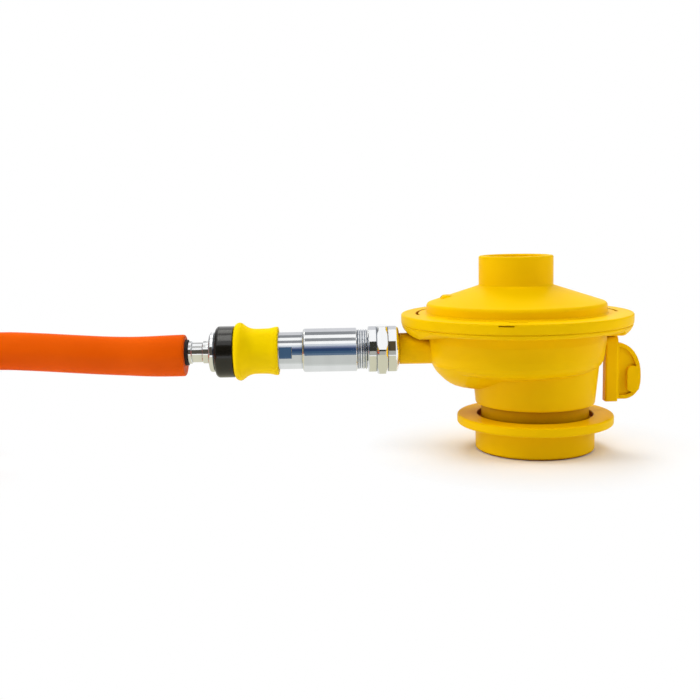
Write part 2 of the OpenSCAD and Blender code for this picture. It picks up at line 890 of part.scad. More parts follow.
module cam_shaft() {
    end_x = -cam_half_w - 1;
    color(steel)
        difference() {
            translate([end_x, 0, 0])
                on_shaft() {
                    cylinder(h = lever_x - face_gap - end_x, r = shaft_r);
                    cylinder(h = bar_right - 0.8 - end_x, r = shaft_end_r);
                }
            translate([-cam_half_w, 0, shaft_z])
                rotate([0, 90, 0])
                    linear_extrude(2 * cam_half_w)
                        cam_notch();
            translate([(lever_x + bar_right) / 2, 0, shaft_z])
                cylinder(h = 12, r = cross_pin_r, center = true);
        }
}

module shaft_seal() {
    color(rubber_black)
        translate([shaft_gland_x + 0.75, 0, 0])
            on_shaft()
                torus(shaft_r + 0.62, 0.57, 0);
}

// Outline of the finger grip, in the plane of the shaft and the bar.
module grip_outline() {
    top_z = shaft_z - 0.3;
    foot_z = lever_bottom + 1;
    high_z = lever_bottom + 11.7;
    low_z = lever_bottom + 9.2;
    polygon(concat(
        [[bar_right - 1, foot_z], [bar_right - 1, top_z]],
        arc(bar_right + 0.4, high_z, grip_w - 0.4, top_z - high_z, 90, 0, 16),
        arc(bar_right + 2.9, low_z, grip_w - 2.9, low_z - foot_z, 0, -90, 14)));
}

// Raises an outline in X and Z to a plate of thickness t about Y = 0.
module plate_xz(t) {
    rotate([90, 0, 0])
        linear_extrude(t, center = true)
            children();
}

module on_off_lever() {
    pad_w = 5.4;
    pad_h = 11.5;
    edge = 0.6;
    color(cast_yellow)
        difference() {
            union() {
                translate([lever_x, 0, 0])
                    on_shaft()
                        cylinder(h = bar_t, r = hub_r);
                translate([0, 0, lever_bottom])
                    linear_extrude(shaft_z - lever_bottom)
                        polygon([[lever_x, -hub_r + edge], [lever_x + edge, -hub_r],
                                 [bar_right - edge, -hub_r], [bar_right, -hub_r + edge],
                                 [bar_right, hub_r - edge], [bar_right - edge, hub_r],
                                 [lever_x + edge, hub_r], [lever_x, hub_r - edge]]);
                plate_xz(web_t)
                    grip_outline();
                plate_xz(web_t + 1.8)
                    difference() {
                        grip_outline();
                        offset(delta = -1.7)
                            grip_outline();
                    }
                plate_xz(bar_w + 0.6)
                    translate([grip_reach - pad_w - 0.7 + 2.4, lever_bottom + 4 + 2.4])
                        offset(r = 2.4, $fn = 24)
                            square([pad_w - 4.8, pad_h - 4.8]);
            }
            translate([lever_x - 1, 0, 0])
                on_shaft()
                    cylinder(h = bar_t + 0.3, r = shaft_end_r + 0.02);
            translate([(lever_x + bar_right) / 2, 0, shaft_z - hub_r - 1])
                cylinder(h = 12, r = cross_pin_r);
        }
}

module lever_roll_pin() {
    color(steel)
        translate([(lever_x + bar_right) / 2, 0, shaft_z])
            pipe(cross_pin_r, cross_pin_r / 2, -hub_r - 0.9, hub_r - 0.1);
}

module valve_plunger() {
    tip_z = shaft_z - cam_low_r - cam_tip_gap;
    tip_h = 4;
    bottom = socket_depth - 0.8;
    color(brass) {
        translate([0, 0, bottom])
            cylinder(h = tip_z - tip_h - bottom, r = plunger_r);
        translate([0, 0, tip_z - tip_h])
            cylinder(h = tip_h, r1 = plunger_r, r2 = 0.1);
    }
}

// ---------------------------------------------------------------- inlet and collar

// Ball cage round the valve's head.
module inlet_socket() {
    color(cast_yellow)
        difference() {
            cylinder(h = socket_depth, r = stem_r);
            rotate_extrude()
                polygon([[0, -1], [mouth_r, -1], [mouth_r, mouth_h], [socket_r, mouth_h + 0.4],
                         [socket_r, socket_depth + 1], [0, socket_depth + 1]]);
            // Rounded lower edge, inside the snap ring's reach
            difference() {
                translate([0, 0, -1])
                    cylinder(h = 1.5, r = stem_r + 1);
                translate([0, 0, -1])
                    cylinder(h = 1, r = stem_r - 0.5);
                cylinder(h = 0.5, r1 = stem_r - 0.5, r2 = stem_r);
            }
            for (k = [0:ball_count - 1])
                rotate([0, 0, 360 * (k + 0.5) / ball_count])
                    translate([mouth_r - 3, 0, ball_z])
                        rotate([0, 90, 0])
                            cylinder(h = 12, r = ball_r + run_gap);
            translate([0, 0, snap_z - 0.05])
                pipe(stem_r + 2, snap_groove_r, 0, snap_t + 0.1);
        }
}

// Roof of the socket, with the seal's gland and the spigot that goes up into the neck.
module inlet_spigot() {
    roof_z = socket_depth + seal_t - seal_proud;
    color(cast_yellow)
        difference() {
            rotate_extrude()
                polygon([[seal_r, socket_depth], [stem_r, socket_depth],
                         [stem_r, neck_bottom], [spigot_r, neck_bottom],
                         [spigot_r, neck_bottom + spigot_h], [0, neck_bottom + spigot_h],
                         [0, roof_z], [seal_r, roof_z]]);
            cylinder(h = 40, r = gas_r);
        }
}

module inlet_seal() {
    color(rubber_black)
        pipe(seal_r, gas_r, socket_depth - seal_proud, socket_depth - seal_proud + seal_t);
}

module locking_balls() {
    color(steel)
        for (k = [0:ball_count - 1])
            rotate([0, 0, 360 * (k + 0.5) / ball_count])
                translate([ball_pcr, 0, ball_z])
                    sphere(r = ball_r);
}

module collar_snap_ring() {
    gap_angle = 20;
    color(steel)
        rotate([0, 0, 90 + gap_angle / 2])
            rotate_extrude(angle = 360 - gap_angle)
                translate([snap_groove_r + 0.1, snap_z])
                    square([snap_r - snap_groove_r - 0.1, snap_t]);
}

module locking_collar() {
    ring_bottom = ring_top - ring_t;
    edge = 0.9;
    color(cast_yellow)
        rotate_extrude()
            polygon(concat(
                [[release_r, face_gap]],
                arc(skirt_r - 1.1, face_gap + 1.1, 1.1, 1.1, -90, 0, 6),
                arc(skirt_r + 0.6, ring_bottom - 0.6, 0.6, 0.6, 180, 90, 4),
                arc(ring_r - edge, ring_bottom + edge, edge, edge, -90, 0, 6),
                arc(ring_r - edge, ring_top - edge, edge, edge, 0, 90, 6),
                [[collar_recess_r + 0.3, ring_top], [collar_recess_r, ring_top - 0.3],
                 [collar_recess_r, ring_top - 2.2], [collar_bore_r, ring_top - 2.2],
                 [collar_bore_r, release_z + 1.2], [release_r, release_z]]));
}

// ---------------------------------------------------------------- outlet and plug

module outlet_seal() {
    color(rubber_black)
        on_outlet()
            pipe(6.2, 4.6, thread_end, plug_face);
}

module union_nut() {
    band_r = nut_band_d / 2;
    hex_from = nut_start + 5;
    hex_to = nut_start + 9.5;
    color(steel)
        on_outlet()
            difference() {
                union() {
                    rotate_extrude()
                        polygon(concat(
                            [[0, nut_start], [band_r - 1.6, nut_start]],
                            arc(band_r - 1.6, nut_start + 1.6, 1.6, 1.6, -90, 0, 6),
                            [[band_r, hex_from - 0.3], [band_r - 0.4, hex_from],
                             [band_r - 0.4, hex_to], [band_r, hex_to + 0.3]],
                            arc(band_r - 0.5, nut_end - 0.5, 0.5, 0.5, 0, 90, 4),
                            [[0, nut_end]]));
                    intersection() {
                        translate([0, 0, hex_from])
                            rotate([0, 0, 30])
                                cylinder(h = hex_to - hex_from, d = nut_af / cos(30), $fn = 6);
                        rotate_extrude()
                            polygon([[0, hex_from], [nut_af / 2 + 0.2, hex_from],
                                     [nut_af / 2 + 1, hex_from + 0.8],
                                     [nut_af / 2 + 1, hex_to - 0.8],
                                     [nut_af / 2 + 0.2, hex_to], [0, hex_to]]);
                    }
                }
                translate([0, 0, nut_start - 1])
                    cylinder(h = nut_back - nut_start + 1, d = thread_d + 2 * run_gap);
                translate([0, 0, nut_start])
                    cylinder(h = nut_len + 1, r = plug_neck_r + 0.1);
            }
}

// Tail of the quick coupling, with its ringed neck, wide and narrow tubes and tip.
module plug_body() {
    wide_r = plug_d / 2;
    narrow_r = plug_narrow_d / 2;
    ring_w = ringed_len / 4;
    lock_r = tip_r - lock_depth;
    color(steel)
        on_outlet()
            difference() {
                union() {
                    rotate_extrude()
                        polygon(concat(
                            [[0, plug_face], [6.3, plug_face], [6.3, nut_back - 0.15],
                             [plug_neck_r, nut_back - 0.15], [plug_neck_r, ringed_start]],
                            [for (k = [0:3]) let (s = ringed_start + k * ring_w)
                                each [[wide_r - 1.2, s], [wide_r - 0.75, s + 0.3],
                                      [wide_r - 0.75, s + ring_w - 0.3],
                                      [wide_r - 1.2, s + ring_w - 0.1]]],
                            [[wide_r - 0.4, wide_start + 0.1], [wide_r, wide_start + 0.5]],
                            arc(wide_r - 1, wide_end - 1, 1, 1, 0, 90, 6),
                            [[narrow_r, wide_end], [narrow_r, narrow_end - 0.5],
                             [narrow_r - 0.5, narrow_end], [tip_r, narrow_end],
                             [tip_r, cball_s - 1.35], [lock_r, cball_s - 0.8],
                             [lock_r, cball_s + 0.8], [tip_r, cball_s + 1.35],
                             [tip_r, tip_end - 1], [tip_r - 1, tip_end], [0, tip_end]]));
                }
                translate([0, 0, plug_face - 1])
                    cylinder(h = 80, r = plug_bore_r);
                // Wrench flats on the narrow tube
                for (side = [-1, 1])
                    translate([-20, side * (narrow_r + 4.6) - 5, narrow_end - 6.8])
                        cube([40, 10, 5.6]);
            }
}

// ---------------------------------------------------------------- quick coupler

module coupler_body() {
    flange_r = rear_flange_d / 2;
    ridges = 5;
    ridge_pitch = (barb_end - nipple_end - 2) / ridges;
    color(steel)
        on_outlet()
            difference() {
                rotate_extrude()
                    polygon(concat(
                        [[0, coupler_start], [coupler_r - 0.4, coupler_start],
                         [coupler_r, coupler_start + 0.4], [coupler_r, spring_stop],
                         [flange_r - 0.1, spring_stop], [flange_r - 0.1, rear_flange_start]],
                        arc(flange_r - 0.9, rear_flange_start + 0.9, 0.9, 0.9, -80, 0, 5),
                        arc(flange_r - 0.9, step_start - 0.9, 0.9, 0.9, 0, 90, 6),
                        [[step_r, step_start], [step_r, nipple_start - 0.3],
                         [step_r - 0.3, nipple_start], [nipple_r, nipple_start],
                         [nipple_r, nipple_start + nipple_len],
                         [nipple_collar_r - 0.3, nipple_start + nipple_len],
                         [nipple_collar_r, nipple_start + nipple_len + 0.3],
                         [nipple_collar_r, nipple_end - 0.3],
                         [nipple_collar_r - 0.3, nipple_end]],
                        [for (k = [0:ridges - 1])
                            each [[barb_r - 0.6, nipple_end + 2 + k * ridge_pitch],
                                  [barb_r, nipple_end + 2 + k * ridge_pitch],
                                  [barb_r - 0.6, nipple_end + 2 + (k + 1) * ridge_pitch - 0.3]]],
                        [[0, barb_end]]));
                translate([0, 0, coupler_start - 1])
                    cylinder(h = poppet_face - coupler_start + 1, r = coupler_bore_r);
                translate([0, 0, poppet_face - eps])
                    cylinder(h = poppet_chamber_end - poppet_face, r = poppet_chamber_r);
                cylinder(h = 300, r = 2.6);
                // Gland of the seal and seats of the balls and the snap ring
                translate([0, 0, tip_end - 4])
                    cylinder(h = 1.4, r = tip_r + 1.1);
                for (k = [0:cball_count - 1])
                    rotate([0, 0, 60 * k])
                        translate([tip_r - 1, 0, cball_s])
                            rotate([0, 90, 0])
                                cylinder(h = 6, r = cball_r + run_gap);
                translate([0, 0, land_start - 1.05])
                    pipe(coupler_r + 2, coupler_r - 0.5, 0, 0.9);
            }
}

module coupler_oring() {
    color(rubber_black)
        on_outlet()
            torus(tip_r + 0.56, 0.52, tip_end - 3.3);
}

module coupler_balls() {
    color(steel)
        on_outlet()
            for (k = [0:cball_count - 1])
                rotate([0, 0, 60 * k])
                    translate([tip_r - lock_depth + cball_r + 0.03, 0, cball_s])
                        sphere(r = cball_r);
}

// Shut-off poppet, held open by the plug's tip.
module coupler_poppet() {
    color(brass)
        on_outlet()
            difference() {
                union() {
                    translate([0, 0, poppet_face])
                        cylinder(h = 2, r1 = 3.8, r2 = poppet_chamber_r - 0.15);
                    translate([0, 0, poppet_face + 2 - eps])
                        cylinder(h = 5, r = 2);
                }
                for (k = [0:3])
                    rotate([0, 0, 90 * k])
                        translate([3.6, 0, poppet_face - 1])
                            cylinder(h = 4, r = 0.7);
            }
}

module poppet_spring() {
    color(steel)
        on_outlet()
            coil_spring(2.9, 0.8, poppet_face + 2.05, poppet_chamber_end - 0.05, 5);
}

module sleeve_spring() {
    color(steel)
        on_outlet()
            coil_spring(sleeve_bore_r - sleeve_wire / 2 - 0.05, sleeve_wire,
                        shoulder_end + 0.02, spring_stop - 0.02, sleeve_turns);
}

module sleeve_snap_ring() {
    color(steel)
        on_outlet()
            rotate_extrude(angle = 340)
                translate([coupler_r - 0.45, land_start - 1])
                    square([1.2, 0.8]);
}

module release_sleeve() {
    crest_r = sleeve_d / 2;
    waist_r = waist_d / 2;
    front_r = flare_d / 2;
    tail_end = bumper_end - 1.2;
    color(plastic_yellow)
        on_outlet()
            rotate_extrude()
                polygon(concat(
                    arc(front_r - 0.7, sleeve_start + 0.7, 0.7, 0.7, -90, 0, 4),
                    [[front_r, sleeve_start + 1.6], [waist_r + 0.35, sleeve_start + 3.4],
                     [waist_r, sleeve_start + 4.8], [waist_r, sleeve_start + 10.6],
                     [waist_r + 0.35, sleeve_start + 12], [waist_r + 1.1, sleeve_start + 13.4]],
                    arc(crest_r - 2.4, sleeve_end - 2.5, 2.4, 1.9, 20, 75, 6),
                    [[crest_r - 1.9, sleeve_end], [sleeve_tail_r, sleeve_end],
                     [sleeve_tail_r, tail_end], [sleeve_bore_r, tail_end],
                     [sleeve_bore_r, shoulder_end], [lock_land_r, shoulder_end],
                     [lock_land_r, land_start], [sleeve_mouth_r, land_start],
                     [sleeve_mouth_r, sleeve_start]]));
}

module bumper_ring() {
    bumper_r = bumper_d / 2;
    edge = 1.8;
    color(rubber_black)
        on_outlet()
            rotate_extrude()
                polygon(concat(
                    [[sleeve_tail_r, sleeve_end], [bumper_r - 0.4, sleeve_end],
                     [bumper_r, sleeve_end + 0.4]],
                    arc(bumper_r - edge, bumper_end - edge, edge, edge, 0, 90, 8),
                    [[sleeve_bore_r, bumper_end], [sleeve_bore_r, bumper_end - 1.2],
                     [sleeve_tail_r, bumper_end - 1.2]]));
}

// ---------------------------------------------------------------- hose

module hose_liner() {
    color(rubber_black)
        on_outlet()
            pipe(liner_d / 2, barb_r + 0.02, nipple_end, hose_start);
}

module hose_lead() {
    color("orangered")
        tube(lead_points, hose_r, hose_sides);
}

// Height of the loop's centre line after turning by angle a.
function loop_z(a) =
    a < loop_fall ? loop_high_z + (hose_r - loop_high_z) * ease(a / loop_fall)
    : hose_r + (tail_lane_z - hose_r) * ease((a - loop_rise_from) / (360 - loop_rise_from));

coil_path = concat(
    [lead_end, lead_end - [straight_end / 2, 0, 0]],
    [for (i = [0:loop_rings]) let (a = 360 * i / loop_rings)
        [loop_x - loop_r * sin(a), loop_y + loop_r * cos(a), loop_z(a)]],
    [[loop_x - tail_len + straight_end, tail_y, tail_lane_z], [tail_end_x, tail_y, tail_lane_z]]);

// Least distance between two stretches of the loop that aren't neighbours on it.
apart = 6;
loop_gap = min([for (i = [0:len(coil_path) - 1], j = [0:len(coil_path) - 1])
    if (j > i + apart) norm(coil_path[i] - coil_path[j])]) - hose_d;
echo(least_gap_in_hose_loop = loop_gap);
echo(hose_length = path_length(lead_points) + path_length(coil_path));

module hose_coil() {
    color("orangered")
        tube(coil_path, hose_r, loop_sides);
}

// Strap round the two passes of the hose where they cross.
module hose_tie() {
    in_r = hose_r + 0.1;
    out_r = in_r + tie_t;
    module stadium(r, w) {
        for (z = [tail_lane_z, loop_high_z])
            translate([0, 0, z])
                rotate([0, 90, 0])
                    cylinder(h = w, r = r, center = true);
        translate([-w / 2, -r, tail_lane_z])
            cube([w, 2 * r, loop_high_z - tail_lane_z]);
    }
    color(rubber_black)
        translate([loop_x, tail_y, 0]) {
            difference() {
                stadium(out_r, tie_w);
                stadium(in_r, tie_w + 1);
            }
            translate([-tie_w / 2 - 0.8, out_r - 0.4, (tail_lane_z + loop_high_z) / 2 - 3])
                cube([tie_w + 1.6, 3.4, 6]);
        }
}

module end_ferrule() {
    ferrule_r = ferrule_d / 2;
    crimps = 4;
    first = 2 - ferrule_grip;
    pitch = (ferrule_grip + ferrule_front - 4) / crimps;
    color(steel)
        on_tail()
            difference() {
                rotate_extrude()
                    polygon(concat(
                        [[0, -ferrule_grip], [ferrule_r - 0.4, -ferrule_grip],
                         [ferrule_r, 0.4 - ferrule_grip], [ferrule_r, 1.6 - ferrule_grip]],
                        [for (k = [0:crimps - 1]) let (s = first + k * pitch)
                            each [[ferrule_r - 0.6, s + 0.4], [ferrule_r - 0.6, s + pitch - 1.4],
                                  [ferrule_r, s + pitch - 1], [ferrule_r, s + pitch - 0.2]]],
                        [[ferrule_r, ferrule_front - 2], [ferrule_r - 1.5, ferrule_front - 0.4],
                         [ferrule_r - 2, ferrule_front], [0, ferrule_front]]));
                translate([0, 0, -ferrule_grip - 1])
                    cylinder(h = ferrule_grip + 1, r = hose_r + 0.05);
                cylinder(h = ferrule_front + 1, r = end_stem_r);
            }
}

module end_stem() {
    color(steel)
        on_tail()
            difference() {
                rotate_extrude()
                    polygon([[0, 0], [end_stem_r, 0], [end_stem_r, ferrule_front],
                             [end_stem_r + 1.4, ferrule_front],
                             [end_stem_r + 1.4, ferrule_front + 1.8],
                             [end_stem_r, ferrule_front + 2.2],
                             [end_stem_r, end_nut_start + end_nut_back + 0.15],
                             [end_collar_r, end_nut_start + end_nut_back + 0.15],
                             [end_collar_r, end_seal_seat], [0, end_seal_seat]]);
                translate([0, 0, -1])
                    cylinder(h = 60, r = 2.6);
            }
}

module end_seal() {
    color(rubber_black)
        on_tail()
            pipe(end_collar_r, 3.6, end_seal_seat, end_seal_seat + end_seal_t);
}

module end_nut() {
    hex_d = end_nut_af / cos(30);
    end = end_nut_start + end_nut_len;
    color(steel)
        on_tail()
            difference() {
                intersection() {
                    translate([0, 0, end_nut_start])
                        cylinder(h = end_nut_len, d = hex_d, $fn = 6);
                    rotate_extrude()
                        polygon([[0, end_nut_start], [end_nut_af / 2 - 0.2, end_nut_start],
                                 [hex_d / 2 + 0.2, end_nut_start + 1.2],
                                 [hex_d / 2 + 0.2, end - 1.2], [end_nut_af / 2 - 0.2, end],
                                 [0, end]]);
                }
                translate([0, 0, end_thread_start])
                    cylinder(h = end_nut_len, d = thread_d + 2 * run_gap);
                translate([0, 0, end_nut_start + end_nut_back])
                    cylinder(h = end_nut_len, r = end_collar_r + slide_gap);
                translate([0, 0, end_nut_start - 1])
                    cylinder(h = end_nut_len, r = end_stem_r + 0.1);
            }
}

regulator_body();
top_cover();
diaphragm();
diaphragm_plate();
diaphragm_stem();
main_spring();
adjusting_screw();
inner_lever();
valve_pad();
lever_pivot_pin();
nozzle();
cam_shaft();
shaft_seal();
on_off_lever();
lever_roll_pin();
valve_plunger();
inlet_socket();
inlet_spigot();
inlet_seal();
locking_balls();
collar_snap_ring();
locking_collar();
outlet_seal();
union_nut();
plug_body();
coupler_body();
coupler_oring();
coupler_balls();
coupler_poppet();
poppet_spring();
sleeve_spring();
sleeve_snap_ring();
release_sleeve();
bumper_ring();
hose_liner();
hose_lead();
hose_coil();
hose_tie();
end_ferrule();
end_stem();
end_seal();
end_nut();
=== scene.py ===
"""Clip-on propane regulator with a quick coupler and an orange gas hose.

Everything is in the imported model's own frame: the origin is the centre of the inlet
socket's mouth, +Z runs up the inlet's axis and -X runs towards the hose. Sizes are in
millimetres, made into Blender's metres by MM, except where a comment says metres.
"""
import json
import math

import bmesh
import bpy
from mathutils import Matrix, Vector


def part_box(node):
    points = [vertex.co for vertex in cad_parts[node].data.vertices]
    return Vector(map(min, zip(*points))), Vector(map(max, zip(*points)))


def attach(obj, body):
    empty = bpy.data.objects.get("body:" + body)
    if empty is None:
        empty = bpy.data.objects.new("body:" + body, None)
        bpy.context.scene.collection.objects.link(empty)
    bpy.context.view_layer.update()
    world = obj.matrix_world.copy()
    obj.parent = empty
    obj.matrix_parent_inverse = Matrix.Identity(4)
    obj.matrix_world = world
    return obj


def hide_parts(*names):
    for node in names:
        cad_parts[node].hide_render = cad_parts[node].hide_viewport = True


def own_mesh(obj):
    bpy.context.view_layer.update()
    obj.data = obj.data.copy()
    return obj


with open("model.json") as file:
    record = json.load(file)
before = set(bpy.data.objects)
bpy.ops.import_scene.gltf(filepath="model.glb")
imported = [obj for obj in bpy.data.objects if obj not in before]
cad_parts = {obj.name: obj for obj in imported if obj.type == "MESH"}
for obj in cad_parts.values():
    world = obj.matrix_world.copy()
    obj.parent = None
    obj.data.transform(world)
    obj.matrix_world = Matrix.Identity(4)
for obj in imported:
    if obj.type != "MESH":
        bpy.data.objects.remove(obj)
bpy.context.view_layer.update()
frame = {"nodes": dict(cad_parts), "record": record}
MM = 0.001


def add(name, data):
    """A new object in the scene that shows the data."""
    made = bpy.data.objects.new(name, data)
    bpy.context.scene.collection.objects.link(made)
    return made


# ---------------------------------------------------------------- camera
# A square picture with a focal length of 1000 pixels, from a little above the object
IMAGE_PX = 700
FOCAL_PX = 1000
SENSOR_W = 36
CAMERA_AT = Vector((-80.32, -430.28, 103.31)) * MM
CAMERA_PITCH = 7.75
CAMERA_ROLL = -1.12
# What the camera shows, in metres from it
CLIP = (0.01, 20)


def make_camera():
    data = bpy.data.cameras.new("camera")
    data.sensor_width = SENSOR_W
    data.lens = SENSOR_W * FOCAL_PX / IMAGE_PX
    data.clip_start, data.clip_end = CLIP
    tilt = Matrix.Rotation(math.radians(90 - CAMERA_PITCH), 4, "X")
    roll = Matrix.Rotation(math.radians(CAMERA_ROLL), 4, "Z")
    camera = add("camera", data)
    camera.matrix_world = Matrix.Translation(CAMERA_AT) @ tilt @ roll
    bpy.context.scene.camera = camera


make_camera()
bpy.context.scene.view_settings.view_transform = "Standard"


# ---------------------------------------------------------------- node helpers
class Graph:
    """The node tree of a world or material, with short ways to fill it."""

    def __init__(self, owner):
        owner.use_nodes = True
        self.tree = owner.node_tree

    def node(self, kind, **values):
        """A node of that kind. Values are its own settings, or its inputs' values."""
        made = self.tree.nodes.new(kind)
        for key, value in values.items():
            if hasattr(made, key):
                setattr(made, key, value)
            else:
                made.inputs[key.replace("_", " ")].default_value = value
        return made

    def put(self, value, socket):
        """Gives an input another node's output, or a plain value."""
        if hasattr(value, "node"):
            self.tree.links.new(value, socket)
        else:
            socket.default_value = value

    def calculate(self, operation, *values):
        """What a Math node makes of the values."""
        made = self.node("ShaderNodeMath", operation=operation)
        for value, socket in zip(values, made.inputs):
            self.put(value, socket)
        return made.outputs["Value"]

    def rescale(self, value, low, high, from_low=0.0, from_high=1.0):
        """The value, taken from its own limits to low and high, and held between them."""
        made = self.node("ShaderNodeMapRange", From_Min=from_low, From_Max=from_high,
                         To_Min=low, To_Max=high)
        self.put(value, made.inputs["Value"])
        return made.outputs["Result"]


class Finish(Graph):
    """A material's node tree, with its Principled shader ready to use."""

    def __init__(self, name, **shader):
        self.material = bpy.data.materials.new(name)
        super().__init__(self.material)
        self.bsdf = self.tree.nodes["Principled BSDF"]
        for socket, value in shader.items():
            self.shade(socket.replace("_", " "), value)

    def shade(self, socket, value):
        """Gives the shader's own input a value."""
        self.put(value, self.bsdf.inputs[socket])

    def place(self, stretch=(1, 1, 1)):
        """Object coordinates in millimetres, stretched along the axes."""
        coords = self.node("ShaderNodeTexCoord")
        mapping = self.node("ShaderNodeMapping", Scale=[s / MM for s in stretch])
        self.put(coords.outputs["Object"], mapping.inputs["Vector"])
        return mapping.outputs["Vector"]

    def noise(self, per_mm, detail=2.0, stretch=(1, 1, 1)):
        made = self.node("ShaderNodeTexNoise", Scale=per_mm, Detail=detail)
        self.put(self.place(stretch), made.inputs["Vector"])
        return made.outputs["Fac"]

    def tones(self, value, edge, dark, light):
        """Dark up to a value of edge, light from 1 - edge on, and mixed between."""
        made = self.node("ShaderNodeValToRGB")
        first, last = made.color_ramp.elements
        first.position, first.color = edge, (*dark, 1)
        last.position, last.color = 1 - edge, (*light, 1)
        self.put(value, made.inputs["Fac"])
        return made.outputs["Color"]

    def painted_shade(self, colour, dark, reach_mm, clean=0.62):
        """The colour, turned dark by painted shade in crevices that are narrower than reach_mm.

        The colour stays unshaded where the share of open sky is at the given limit or more.
        """
        # The share of open sky at which the painted shade is darkest
        fully_shaded = 0.1
        open_sky = self.node("ShaderNodeAmbientOcclusion", samples=8, Distance=reach_mm * MM)
        share = self.rescale(open_sky.outputs["AO"], 0, 1, fully_shaded, clean)
        mixed = self.node("ShaderNodeMix", data_type="RGBA")
        for name, value in (("Factor", share), ("A", (*dark, 1)), ("B", colour)):
            self.put(value, self.enabled(mixed.inputs, name))
        return self.enabled(mixed.outputs, "Result")

    @staticmethod
    def enabled(sockets, name):
        """A Mix node's socket of that name, which it has once for each type of data."""
        return next(s for s in sockets if s.name == name and s.enabled)

    def bump(self, height, depth_mm, strength=0.5, edge_mm=0.0):
        """Bump from a height, over edges that are rounded by edge_mm."""
        made = self.node("ShaderNodeBump", Distance=depth_mm * MM, Strength=strength)
        self.put(height, made.inputs["Height"])
        if edge_mm:
            bevel = self.node("ShaderNodeBevel", samples=6, Radius=edge_mm * MM)
            self.put(bevel.outputs["Normal"], made.inputs["Normal"])
        self.shade("Normal", made.outputs["Normal"])


# ---------------------------------------------------------------- materials
def cast_paint(name, **painted_shade):
    """Gloss enamel over a zinc casting: a soft orange-peel skin, faint dullness, and painted
    shade in its crevices.
    """
    g = Finish(name, Specular_IOR_Level=0.03)
    colour = g.tones(g.noise(0.035, detail=3), 0.3, (0.88, 0.53, 0.0), (0.92, 0.57, 0.0))
    g.shade("Base Color", g.painted_shade(colour, **painted_shade))
    g.shade("Roughness", g.rescale(g.noise(0.9, detail=4), 0.34, 0.46))
    g.bump(g.noise(1.4, detail=3), 0.02, edge_mm=0.35)
    return g.material


def sleeve_plastic():
    """Moulded lemon-yellow plastic with a fine matt grain."""
    g = Finish("sleeve_plastic", Specular_IOR_Level=0.03)
    g.shade("Base Color", g.tones(g.noise(0.06), 0.3, (0.92, 0.64, 0.0), (0.95, 0.68, 0.0)))
    g.shade("Roughness", g.rescale(g.noise(1.5), 0.42, 0.55))
    g.bump(g.noise(2.0), 0.005)
    return g.material


def black_gloss():
    """The bumper ring's black rubber, with a shiny skin."""
    g = Finish("black_gloss", Base_Color=(0.005, 0.004, 0.002, 1), Specular_IOR_Level=0.45,
               Coat_Weight=0.35, Coat_Roughness=0.08)
    g.shade("Roughness", g.rescale(g.noise(0.7, detail=3), 0.16, 0.28))
    g.bump(g.noise(2.0), 0.006, edge_mm=0.3)
    return g.material


def chrome():
    """Bright plating with faint lathe lines round the outlet's axis, and painted shade that
    darkens its grooves.
    """
    g = Finish("chrome", Metallic=1.0)
    tone = g.noise(0.2, stretch=(1, 0.15, 0.15))
    colour = g.tones(tone, 0.35, (0.90, 0.91, 0.92), (0.94, 0.95, 0.96))
    g.shade("Base Color", g.painted_shade(colour, dark=(0.30, 0.34, 0.40), reach_mm=1.2, clean=0.95))
    smear = g.noise(0.5, detail=5, stretch=(1, 0.2, 0.2))
    g.shade("Roughness", g.rescale(smear, 0.03, 0.09))
    g.bump(g.noise(3.0, stretch=(1, 0.1, 0.1)), 0.003, strength=0.4, edge_mm=0.2)
    return g.material


def plated_metal(name, dark, light, rough):
    """Machined or drawn metal, a little uneven in its tone and shine."""
    uneven = 0.08
    g = Finish(name, Metallic=1.0)
    g.shade("Base Color", g.tones(g.noise(0.4, detail=4), 0.3, dark, light))
    g.shade("Roughness", g.rescale(g.noise(1.2, detail=4), rough - uneven, rough + uneven))
    g.bump(g.noise(1.2), 0.004, strength=0.4, edge_mm=0.2)
    return g.material


def black_rubber():
    """Dull black rubber, which also serves for the plastic tie."""
    g = Finish("black_rubber")
    tone = g.noise(0.8, detail=4)
    g.shade("Base Color", g.tones(tone, 0.3, (0.012, 0.012, 0.013), (0.022, 0.022, 0.023)))
    g.shade("Roughness", g.rescale(g.noise(2.0, detail=3), 0.5, 0.7))
    g.bump(g.noise(3.0, detail=3), 0.03, edge_mm=0.15)
    return g.material


def hose_rubber():
    """Smooth orange hose cover with a faint, cloudy sheen."""
    g = Finish("hose_rubber", Specular_IOR_Level=0.03)
    tone = g.noise(0.05, detail=4)
    g.shade("Base Color", g.tones(tone, 0.3, (0.78, 0.098, 0.001), (0.84, 0.112, 0.002)))
    g.shade("Roughness", g.rescale(g.noise(0.8, detail=4), 0.40, 0.52))
    g.bump(g.noise(2.2, detail=3), 0.02)
    return g.material


# Painted shade darkens the paint in crevices narrower than 5 mm
PAINT = cast_paint("cast_paint", dark=(0.40, 0.13, 0.0), reach_mm=5)
# The inlet's stem, with wide and deep painted shade where it stands in the collar's shade
STEM_SHADED_PAINT = cast_paint("stem_shaded_paint", dark=(0.26, 0.05, 0.0), reach_mm=9, clean=0.95)
# The lever, with painted shade only in its narrowest corners
LEVER_PAINT = cast_paint("lever_paint", dark=(0.40, 0.13, 0.0), reach_mm=1.8)
SLEEVE = sleeve_plastic()
BLACK = black_gloss()
CHROME = chrome()
ZINC = plated_metal("zinc_steel", (0.50, 0.51, 0.50), (0.66, 0.67, 0.66), 0.34)
SPRING = plated_metal("spring_steel", (0.34, 0.34, 0.35), (0.46, 0.46, 0.47), 0.3)
BRASS = plated_metal("brass", (0.66, 0.47, 0.18), (0.80, 0.60, 0.27), 0.36)
RUBBER = black_rubber()
HOSE = hose_rubber()

